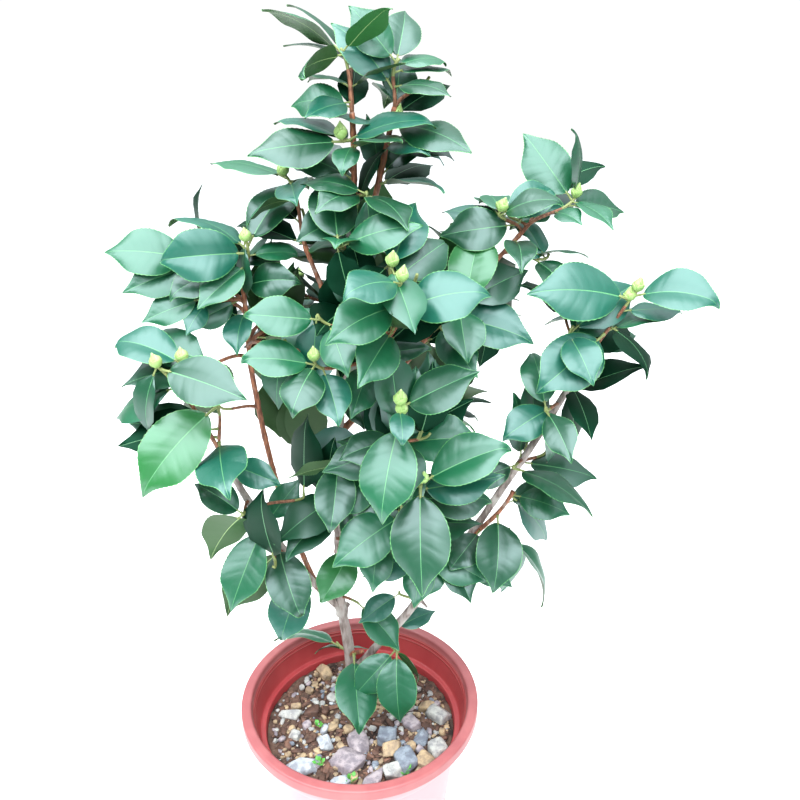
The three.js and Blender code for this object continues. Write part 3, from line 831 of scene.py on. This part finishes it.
# the last tint, a near-black green, is painted shade for leaves deep in the crown
TINTS = {
    "leaf_deep": (2, 62, 34), "leaf_green": (8, 82, 49), "leaf_cool": (10, 82, 64),
    "leaf_fresh": (24, 96, 38), "leaf_dark": (1, 26, 13),
}
UNDER_TINTS = {"leaf_back": (44, 78, 38), "leaf_back_fresh": (34, 90, 38)}
STRIPS = {
    "leaf_midrib": ((82, 142, 96), 0.4), "leaf_margin": ((84, 146, 88), 0.4),
    "leaf_rib_below": ((150, 178, 118), 0.5), "leaf_stalk": ((124, 138, 84), 0.5),
}
leaf_finishes = [Finish(name, base_color=paint(*tint), **(SHADED if name == "leaf_dark" else GLOSS))
                 for name, tint in TINTS.items()]
leaf_finishes += [Finish(name, base_color=paint(*tint), roughness=0.5)
                  for name, tint in UNDER_TINTS.items()]
leaf_finishes += [Finish(name, base_color=paint(*tint), roughness=roughness)
                  for name, (tint, roughness) in STRIPS.items()]
LEAF_MATERIALS = [finish.material for finish in leaf_finishes]
LEAF_NUMBER = {name: number for number, name in enumerate([*TINTS, *UNDER_TINTS, *STRIPS])}


def finish_numbers(tint, back):
    """The material number of each kind of strip, from BLADE to STALK."""
    strips = (tint, "leaf_midrib", "leaf_margin", back, "leaf_rib_below", "leaf_stalk")
    return np.array([LEAF_NUMBER[name] for name in strips])


# %% [markdown]
# Foliage grows in shoots. A shoot is a twig that leaves the nearest limb, bends towards
# the light and ends in a bud, with its leaves turned about it. The rule turns each leaf
# by the golden angle from the last. Shoots on the side that is seen first are listed
# in the table, with a clock hour and a rise for each leaf that matters, and the
# rule fills in the rest of the crown on every side.

# %% Shoots
# The mass, and the tip as shares of its box. Each leaf as hour:rise@millimetres below the
# tip, then its length after a stroke, and f if its face turns to the viewer or b if its
# back does. Then the buds, and how many leaves the rule adds.
SHOOTS = [
    ("top_left", (0.55, 0.5, 0.6),
     "8.5:24@3/54 7:-22@4/46b 4:30@2/44 10.5:0@25/44 10:-2@38/46f 7.5:-10@35/40f", 0, 3),
    ("top_right", (0.38, 0.5, 0.52),
     "9.5:54@3/44f 0.4:42@3/44 2:-2@5/38 2:3@9/48 8.6:34@20/58f 4:-8@19/42f 11.5:-12@28/50", 0, 3),
    ("spire_left", (0.76, 0.45, 0.85),
     "8.6:-8@4/62f 9.8:6@6/54 10:10@10/36 6.5:-40@14/30f 3.4:4@6/62f 5:10@14/50", 1, 4),
    ("spire_right", (0.36, 0.5, 0.84), "4:-16@3/60f 8.4:10@8/40 4:-4@46/50 4.5:-8@18/42f", 1, 4),
    ("spire_foot", (0.75, 0.45, 0.8), "5:-18@5/52 7.5:-10@12/44 9.6:4@4/44", 0, 6),
    ("shoulder_left", (0.59, 0.5, 0.79), "9.6:6@3/56 5.5:-14@8/42f 0.5:-18@6/40 7.5:-20@20/44", 1, 4),
    ("left_upper", (0.8, 0.35, 0.57),
     "1.4:36@4/60f 9.6:10@8/64 8.6:-4@10/64f 0.5:10@16/44 7.4:-30@20/48f 3.4:8@40/48f "
     "2.6:-10@12/36 6:-40@60/38f", 1, 2),
    ("left_upper", (0.46, 0.45, 0.4),
     "8.8:4@3/60f 8.4:-4@12/56f 7.8:-18@30/48f 6.5:-32@28/34f 11:20@6/36", 1, 1),
    ("left_outer", (0.62, 0.45, 0.5), "8.2:-6@2/44f 7.2:-34@6/30f 8.2:-22@30/40f", 0, 4),
    ("left_inner", (0.8, 0.65, 0.85), "8.7:2@4/50f 5.2:-34@12/46f", 0, 5),
    ("left_middle", (0.5, 0.5, 0.87), "9.6:4@5/58 12:-47@20/80f", 1, 4),
    ("left_middle", (0.33, 0.42, 0.85), "3.7:-8@3/66f", 1, 3),
    ("left_middle", (0.72, 0.5, 0.55), "7.9:-40@5/80f 6.2:-2@40/72f 3.4:-14@62/43f", 0, 4),
    ("left_inner", (0.76, 0.5, 0.47), "8.6:3@4/50f 6.7:-34@4/48f 5.2:-36@12/46f 5:-38@104/38f", 1, 4),
    ("middle_upper", (0.42, 0.5, 0.9),
     "11.6:34@3/58f 3.4:18@5/56f 6:10@12/42b 1.4:24@30/40 11:-10@22/50", 0, 4),
    ("front_upper", (0.43, 0.45, 0.65),
     "7.6:-4@2/50f 7.9:-14@24/56f 7:-24@54/52f 6.8:-34@96/46f 3.2:4@84/36f 3:10@30/62f", 1, 3),
    ("front_upper", (0.35, 0.63, 0.72), "0.6:30@4/60f 1.4:16@14/54f", 1, 3),
    ("right_inner", (0.42, 0.48, 0.5), "0.5:44@3/60f 3.6:-10@38/66f 6:-30@14/52f 5:-30@46/52f", 0, 4),
    ("right_upper", (0.59, 0.5, 0.71),
     "12:5@2/40f 11.5:0@6/44 3.6:10@5/48f 2:14@8/48f 1:12@24/48 10:4@22/56f 9.3:-4@22/54f "
     "12:-12@34/50 6:-20@40/46f", 1, 4),
    ("right_shoulder", (0.62, 0.51, 0.42), "10.2:42@3/60f 5:-20@4/42f 2.2:-8@8/48f 5:-10@20/30f", 1, 2),
    ("right_shoulder", (0.36, 0.3, -0.12), "8.5:20@4/28f 11:32@5/44 4.8:-36@14/54f 3:12@16/40", 0, 4),
    ("right_outer", (0.6, 0.5, 0.9), "3.9:-4@4/60f 8.8:6@8/76f 3:-8@18/44 2.6:6@36/50 8:-34@40/68f", 2, 2),
    ("right_outer", (0.3, 0.45, 0.55), "5.4:-36@8/44f", 0, 2),
    ("right_middle", (0.3, 0.45, 0.61), "11.7:30@6/52f 5.3:-26@4/46f 8.2:-26@16/46f", 0, 4),
    ("right_low", (0.3, 0.5, 0.64), "4.2:-18@3/66 8.6:-20@30/40", 0, 3),
    ("front", (0.35, 0.42, 0.66),
     "3.2:26@3/56f 6.6:-58@20/70f 6:-40@6/28 5.5:-40@44/48f 8.4:-10@50/44f 7.8:-34@92/50f "
     "8.6:30@86/40f", 2, 4),
    ("front", (0.38, 0.8, 0.2), "3.2:6@4/60f 8.6:-20@10/52f 5:-35@20/52f", 0, 4),
    ("front_low", (0.48, 0.42, 0.74),
     "6.1:-60@5/74f 3:20@1/66f 3.3:12@16/60f 8.2:-26@50/62f 2.5:-10@30/60 6.6:-50@92/46f "
     "7.3:-44@150/52f", 1, 4),
    ("front_low", (0.49, 0.95, -0.22),
     "8:-8@3/48f 6.4:-44@8/42f 3.6:-24@14/52f 7:-40@26/42f 4.5:-30@32/46f", 0, 4),
    ("right_skirt", (0.52, 0.51, 1.27), "3.6:-16@3/46f 6.3:-52@28/60f 7.4:-30@52/46f 2:-6@14/40", 0, 2),
    ("right_skirt", (0.55, 0.6, 0.66), "4.5:-58@3/60 6.6:-40@14/40f 4:-30@50/46f", 0, 1),
    ("left_low", (0.39, 0.5, 0.9),
     "9.4:28@6/42 9.5:-60@4/56b 2:44@62/42f 7:-56@62/68f 8.4:-52@96/76b 5:-54@88/64f "
     "7:-56@140/58f", 0, 4),
    ("middle_left", (0.79, 0.55, 0.8),
     "6.1:-50@2/56f 8.6:-10@10/42b 6.4:-40@46/48f 7.9:-30@104/44f 5:-40@90/50f", 0, 5),
    ("skirt", (0.8, 0.95, 0.97), "8.2:-26@2/40f 2.2:10@62/38f", 0, 0),
    ("skirt", (0.31, 0.9, 0.9), "4.3:-34@3/52f", 0, 0),
    ("skirt", (0.79, 0.7, 0.6), "6:-64@3/60f 8.2:-46@5/54f 4.4:-44@6/36b", 0, 0),
    ("skirt", (0.24, 1.0, 0.44), "5.9:-34@1/68f", 0, 0),
    ("foot", (0.8, 0.49, 0.5), "9.3:-6@4/64 9:-16@10/28 3:-5@9/22", 0, 0),
]
# how many more shoots the rule grows in each mass
MORE_SHOOTS = dict(
    top_left=1, top_right=1, spire_left=2, spire_right=1, spire_foot=2,
    shoulder_left=1, left_upper=1, left_outer=2, left_middle=2, left_inner=3,
    middle_upper=3, front_upper=3, front=3, front_low=3, middle_left=3,
    right_inner=3, right_upper=2, right_shoulder=1, right_outer=1,
    right_middle=2, right_low=1, right_skirt=1, left_low=2,
    back_upper=6, back_left=6, back_right=6, back_middle=6,
    back_low_left=6, back_low_right=6,
)
LEAVES_TO_A_SHOOT = 9
GOLDEN = 137.5  # degrees from one leaf to the next round a shoot
TO_VIEWER = np.array([0, -0.9, 0.42])
CROWN_MIDDLE = np.array([0.0, 0.02, 0.5])
FRONT_LIMIT, BACK_LIMIT = -0.124, 0.174  # how far leaves may reach along Y, in metres
FINE_TRIES, PLAIN_TRIES = 9, 14
TOO_CROWDED = 7  # a plain leaf that costs more than this is left out
masses = {name.removeprefix("leaves_"): np.array(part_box(name))
          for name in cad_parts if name.startswith("leaves_")}
leaf_pieces = {name: Gathered() for name in masses}
twigs, buds = Gathered(), Gathered()
limb_list = list(limbs.values())
wood_points = np.concatenate([line for line, _ in limb_list])
wood_owner = np.concatenate([[(k, i) for i in range(len(line))]
                             for k, (line, _) in enumerate(limb_list)])
grown = []  # centre, reach and proxy of every leaf so far
set_leaves = []  # the first of them, which the rule keeps in view


def wood_proxy(line, thick):
    """A six-sided tube round a limb, against which new leaves are tried."""
    rings = line[::6]
    points = sweep(rings, 0.8 * thick[::6], 6)
    faces = [[c for c in face if c >= 0] for face in tube_faces(len(rings), 6).tolist()]
    return BVHTree.FromPolygons(points.tolist(), faces)


wood = [wood_proxy(line, thick) for line, thick in limb_list]


class Stem:
    """A twig and the limb below it, as one line from the twig's tip down."""

    def __init__(self, tip, rise_to):
        gap = np.linalg.norm(wood_points - tip, axis=1)
        cost = gap + 1.4 * np.maximum(0, wood_points[:, 2] - tip[2] + 0.3 * gap)
        owner, at = wood_owner[int(np.argmin(cost))]
        line, thick = limb_list[owner]
        start, along = line[at], unit(line[min(at + 1, len(line) - 1)] - line[max(at - 1, 0)])
        span = np.linalg.norm(tip - start)
        self.twig = curve(start, start + 0.35 * span * unit(along + unit(tip - start)),
                          tip - 0.35 * span * rise_to, tip, max(8, int(span / (3.5 * MM)) + 2))
        share = np.linspace(0, 1, len(self.twig))
        self.twig_radius = (1.15 + min(1.2, 9 * span) * (1 - share) ** 1.2) * MM
        self.line = np.concatenate([self.twig[::-1], line[:at][::-1]])
        self.radius = np.concatenate([self.twig_radius[::-1] * 0.6, thick[:at][::-1] * 0.9])
        steps = np.linalg.norm(np.diff(self.line, axis=0), axis=1)
        self.reach = np.concatenate([[0], np.cumsum(steps)])
        self.length = np.linalg.norm(np.diff(self.twig, axis=0), axis=1).sum()

    def at(self, drop, towards):
        """The point of its bark `drop` below the tip, on the side that looks `towards`."""
        drop = min(max(drop, 0), 0.97 * self.reach[-1])
        middle, ahead = (np.array([np.interp(d, self.reach, self.line[:, k]) for k in range(3)])
                         for d in (drop, drop + 2 * MM))
        along = unit(ahead - middle + 1e-9)
        square = unit(towards - along * (along @ towards))
        return middle + square * np.interp(drop, self.reach, self.radius)


def place_leaf(kind, base, chord_way, face_way, length, width, seed, bend, fold):
    """Turns a leaf so that its chord lies along `chord_way` and its face towards
    `face_way` as nearly as that allows. Returns world points and the stalk's end."""
    local, chord = leaf_points(kind, length, width, bend, fold, seed)
    face = unit(face_way - chord_way * (face_way @ chord_way))
    forward = chord_way * np.cos(chord) - face * np.sin(chord)
    normal = face * np.cos(chord) + chord_way * np.sin(chord)
    side = np.cross(normal, forward)
    foot = base + forward * 0.11 * length
    return foot + local @ np.stack([forward, side, normal]), foot, forward


def crossings(outline):
    """How many proxy faces of this leaf cut leaves that have grown or the wood."""
    middle = outline.mean(0)
    reach = np.linalg.norm(outline - middle, axis=1).max()
    tree = BVHTree.FromPolygons(outline.tolist(), PROXY_FACES)
    near = [other for centre, far, other in grown
            if np.linalg.norm(centre - middle) < reach + far]
    return sum(len(tree.overlap(other)) for other in near + wood), (middle, reach, tree)


def hides(outline):
    """How many of a leaf's points stand between the viewer and a leaf set from the table."""
    centres = np.array([centre for centre, _, _ in set_leaves])
    reaches = np.array([reach for _, reach, _ in set_leaves])
    near = np.linalg.norm(outline - EYE, axis=1)
    far = np.linalg.norm(centres - EYE, axis=1)
    together = unit(outline - EYE) @ unit(centres - EYE).T > np.cos(0.6 * reaches / far)
    return int((together & (near[:, None] < far)).sum())


def leaf_outside(outline, mass):
    """How far a leaf reaches past an ellipsoid a little larger than its mass's box."""
    low, high = masses[mass]
    reach = np.linalg.norm((outline - (low + high) / 2) / ((high - low) / 2), axis=1)
    return max(0.0, float(reach.max()) - (1.35 if mass.startswith("back") else 1.2))


def grow_leaf(kind, mass, stem, drop, hour, rise, face, length, tint, back, loose):
    """Tries a few seeded turns of a leaf and keeps the one that costs least. Cuts through
    other leaves or wood cost most; so do leaves past the limits and, for a plain leaf,
    standing outside its mass or in front of a listed leaf."""
    best = None
    ruled = kind is PLAIN
    for attempt in range(PLAIN_TRIES if ruled else FINE_TRIES):
        spread = loose * attempt
        own_hour = hour + chance.normal() * spread / 30
        own_rise = np.clip(rise + chance.normal() * spread * 0.7, -80, 80)
        chord_way = way(own_hour, own_rise)
        base = stem.at((drop + 0.1 * chance.normal() * spread) * MM, chord_way)
        size = length * MM * (1 - 0.02 * attempt * ruled)
        points, foot, forward = place_leaf(
            kind, base, chord_way, face, size, size * chance.uniform(0.53, 0.66),
            int(chance.integers(1 << 30)), chance.uniform(14, 50 if ruled else 64),
            chance.uniform(4, 30))
        outline = points[kind.outline]
        cuts, proxy = crossings(outline)
        cost = cuts + (20 * leaf_outside(outline, mass) if ruled else 0) + 0.3 * attempt
        cost += 0.6 * hides(outline) if ruled else 0
        cost += 2000 * max(0, FRONT_LIMIT - points[:, 1].min(), points[:, 1].max() - BACK_LIMIT)
        if best is None or cost < best[0]:
            best = (cost, points, foot, forward, base, size, proxy)
        if best[0] < 0.3 * (attempt + 1):
            break
    cost, points, foot, forward, base, size, proxy = best
    if ruled and cost > TOO_CROWDED:
        return
    grown.append(proxy)
    numbers = finish_numbers(tint, back)
    leaf_pieces[mass].add(points, kind.faces, numbers[kind.finish], kind.rim)
    petiole = curve(base, base + forward * 0.04 * size, foot - forward * 0.04 * size,
                    foot + forward * 0.03 * size, 6)
    petiole[:, 2] -= 0.004 * size * np.sin(np.linspace(0, np.pi, 6))
    swell = np.array([1.5, 1.15, 1.0, 0.95, 0.95, 0.7]) * MM * size / (64 * MM)
    leaf_pieces[mass].tube(petiole, swell, 7 if kind.fine else 5, numbers[STALK])


def outwards_from(spot, rise=0):
    """The way from the crown's middle to a spot, with a share of its rise."""
    return unit((spot - CROWN_MIDDLE) * [1, 1, rise])


def light_from(spot):
    """Which way a leaf turns its face: up, and outwards from the crown's middle."""
    return unit(0.85 * UP + 0.6 * outwards_from(spot, 0.15))


def deal_tint(inner):
    """A leaf's green by its place on the shoot, and the green of its back. An inner leaf mostly takes a
    near-black green, which is painted shade.
    """
    if inner:
        return ("leaf_dark" if chance.random() < 0.75 else "leaf_deep"), "leaf_back"
    tint = list(TINTS)[chance.choice(4, p=(0.38, 0.36, 0.235, 0.025))]
    return tint, ("leaf_back_fresh" if chance.random() < 0.2 else "leaf_back")


def egg(t, thick):
    """Radius of a bud at t along it: thick sin(pi t^0.8)^0.8, drawn in to a point."""
    return thick * np.sin(np.pi * np.clip(t, 0, 1) ** 0.8) ** 0.8 * (1 - 0.45 * ease(0.5, 1, t))


def grow_bud(foot, along, length, thick):
    """A pointed egg wrapped in overlapping scales, each turned by the golden angle."""
    t = (np.arange(12) + 0.5) / 12
    core = foot + along * length * t[:, None]
    buds.tube(core, egg(t, 0.9 * thick), 12, np.where(t > 0.8, 1, 0), dome=0.3)
    side = unit(np.cross(along, [0.3, 1, 0.2]))
    other = np.cross(along, side)
    across = np.concatenate([np.linspace(-1, 1, 7), np.linspace(0.8, -0.8, 5)])
    inner = np.arange(12) >= 7
    for k in range(6):
        low, high = 0.03 + 0.06 * k, 0.50 + 0.085 * k
        u = np.linspace(0, 1, 9)[:, None]
        t = low + (high - low) * u
        half = np.radians(86 - 5 * k) * np.sqrt(np.clip(1 - u**2.4, 0.004, 1))
        angle = np.radians(GOLDEN * k) + half * across
        shell = egg(t, thick) * (1.10 - 0.025 * k) + 0.03 * thick * u - 0.05 * thick * across**2
        radius = np.where(inner, shell - 0.09 * thick, shell)
        spoke = np.cos(angle)[..., None] * side + np.sin(angle)[..., None] * other
        rings = foot + along * length * t[..., None] + radius[..., None] * spoke
        poles = rings[[0, -1]].mean(1)
        buds.add(np.concatenate([rings.reshape(-1, 3), poles]), tube_faces(9, 12), 0 if k < 4 else 1)


def grow_twig(mass, tip, spoken, bud_count):
    """A twig with the leaves that are spoken for, and its buds."""
    rise_to = unit(0.9 * UP + 0.55 * outwards_from(tip) + 0.25 * chance.normal(size=3))
    stem = Stem(tip, rise_to)
    green = (stem.length * (1 - np.linspace(0, 1, len(stem.twig)))) < 16 * MM
    knots = 1 + 0.1 * noise(stem.twig, 6 * MM, 3)
    twigs.tube(stem.twig, stem.twig_radius * knots, 8, green.astype(int))
    full = 76 - 27 * ease(0.40, 0.78, tip[2])
    for word in spoken.split():
        turn, rest = word.split(":")
        rise, rest = rest.split("@")
        drop, length = rest.rstrip("fb").split("/")
        face = unit(0.8 * TO_VIEWER + 0.45 * UP) if rest.endswith("f") else light_from(tip)
        face = unit(face + 0.16 * chance.normal(size=3))
        if rest.endswith("b"):
            face = unit(UP - 0.9 * TO_VIEWER)
        grow_leaf(FINE, mass, stem, float(drop), float(turn), float(rise), face, float(length),
                  *deal_tint(False), 2.5)
    for k in range(bud_count):
        along = unit(1.2 * UP + rise_to + 0.7 * k * way(12 * chance.random(), 0))
        grow_bud(stem.at(9 * k * MM, along) - along * 1.5 * MM, along,
                 chance.uniform(12, 14.5) * MM, chance.uniform(4.0, 4.8) * MM)
    return mass, tip, stem, full, len(spoken.split())


def fill_twig(mass, tip, stem, full, dealt, added, inner):
    """The rule's own leaves on a twig: each is turned by the golden angle from the last.
    In front of the crown's middle they point away from the viewer, behind those set."""
    behind = mass.startswith("back")
    start = 12 * chance.random()
    for k in range(added):
        hour = (start + k * GOLDEN / 30) % 12
        if not behind and 3.5 < hour < 8.5:
            hour += 6
        drop = 6 + (6.5 + 2 * chance.random()) * (k + 0.5 * dealt)
        rise = 38 - 60 * (k + 0.5) / max(added, 5) + 10 * chance.normal()
        face = light_from(tip) if behind else unit(light_from(tip) + 0.55 * TO_VIEWER)
        # leaves low on a twig or on inner shoots mostly take the near-black painted-shade green
        grow_leaf(PLAIN, mass, stem, drop, hour, rise, face, full * chance.uniform(0.88, 1.1),
                  *deal_tint(inner or drop > 34), 26)


set_twigs = []
for mass, share, spoken, bud_count, added in SHOOTS:
    low, high = masses[mass]
    set_twigs.append(grow_twig(mass, low + (high - low) * np.array(share), spoken, bud_count))
set_leaves.extend(grown)
print("leaves set by hand:", len(grown))
for twig, (*_, added) in zip(set_twigs, SHOOTS):
    fill_twig(*twig, added, False)

for mass, count in MORE_SHOOTS.items():
    low, high = masses[mass]
    middle, half = (low + high) / 2, (high - low) / 2
    behind = mass.startswith("back")
    towards = 0.2 * outwards_from(middle) if behind else 0.6 * way(12, 0)
    for k in range(count):
        about = way(12 * (k + chance.random()) / count, 0)
        tip = middle + half * (0.4 * about + towards)
        tip = tip + half * UP * chance.uniform(-0.4, 0.4)
        budded = int(behind and chance.random() < 0.5)
        # shoots that the rule grows in the front masses count as inner, so their leaves mostly take the
        # painted-shade green
        fill_twig(*grow_twig(mass, tip, "", budded), LEAVES_TO_A_SHOOT, not behind)
print("leaves in all:", len(grown))

for mass, gathered in leaf_pieces.items():
    gathered.piece("foliage_" + mass, LEAF_MATERIALS, "leaves", ["leaves_" + mass])

twig_brown = Finish("twig_brown", base_color=paint(122, 78, 56), roughness=0.6)
fine = twig_brown.grain(500, stretch=(1, 1, 0.4))
twig_brown.coat((98, 60, 42), (fine, 0.35, 0.65, (146, 98, 72)))
twig_green = Finish("twig_green", base_color=paint(122, 132, 78), roughness=0.5)
twigs.piece("twigs", [twig_brown.material, twig_green.material], "young_bark")
bud_green = Finish("bud_green", base_color=paint(140, 174, 100), roughness=0.45)
bud_tip = Finish("bud_tip", base_color=paint(160, 184, 124), roughness=0.5)
buds.piece("buds", [bud_green.material, bud_tip.material], "leaves")

# %% [markdown]
# A few seedlings have sprouted between the stones. They are tiny plain leaves in tufts.

# %% Sprouts
sprouts = Gathered()
for x, y, count in ((-41, -4, 7), (-35, -50, 6), (-5, -68, 11), (42, -59, 9), (22, 66, 7)):
    root = np.array([x, y, 0.0])
    root[2] = mix_height(root[:2]) + 3
    for k in range(count):
        hour, rise = k * GOLDEN / 30, chance.uniform(15, 70)
        size = chance.uniform(3.4, 5.2)
        base = (root + chance.uniform(0.5, 3.2) * way(hour, 0) + [0, 0, chance.uniform(0, 3)]) * MM
        points, foot, _ = place_leaf(PLAIN, base, way(hour, rise), UP, size * MM, 0.75 * size * MM, k, 30, 10)
        sprouts.add(points, PLAIN.faces, 0, PLAIN.rim)
        sprouts.tube(np.linspace(root * MM, foot, 4), np.full(4, 0.3 * MM), 5)
sprout_green = Finish("sprout_green", base_color=paint(78, 154, 60), roughness=0.5)
sprouts.piece("sprouts", [sprout_green.material], "leaves")
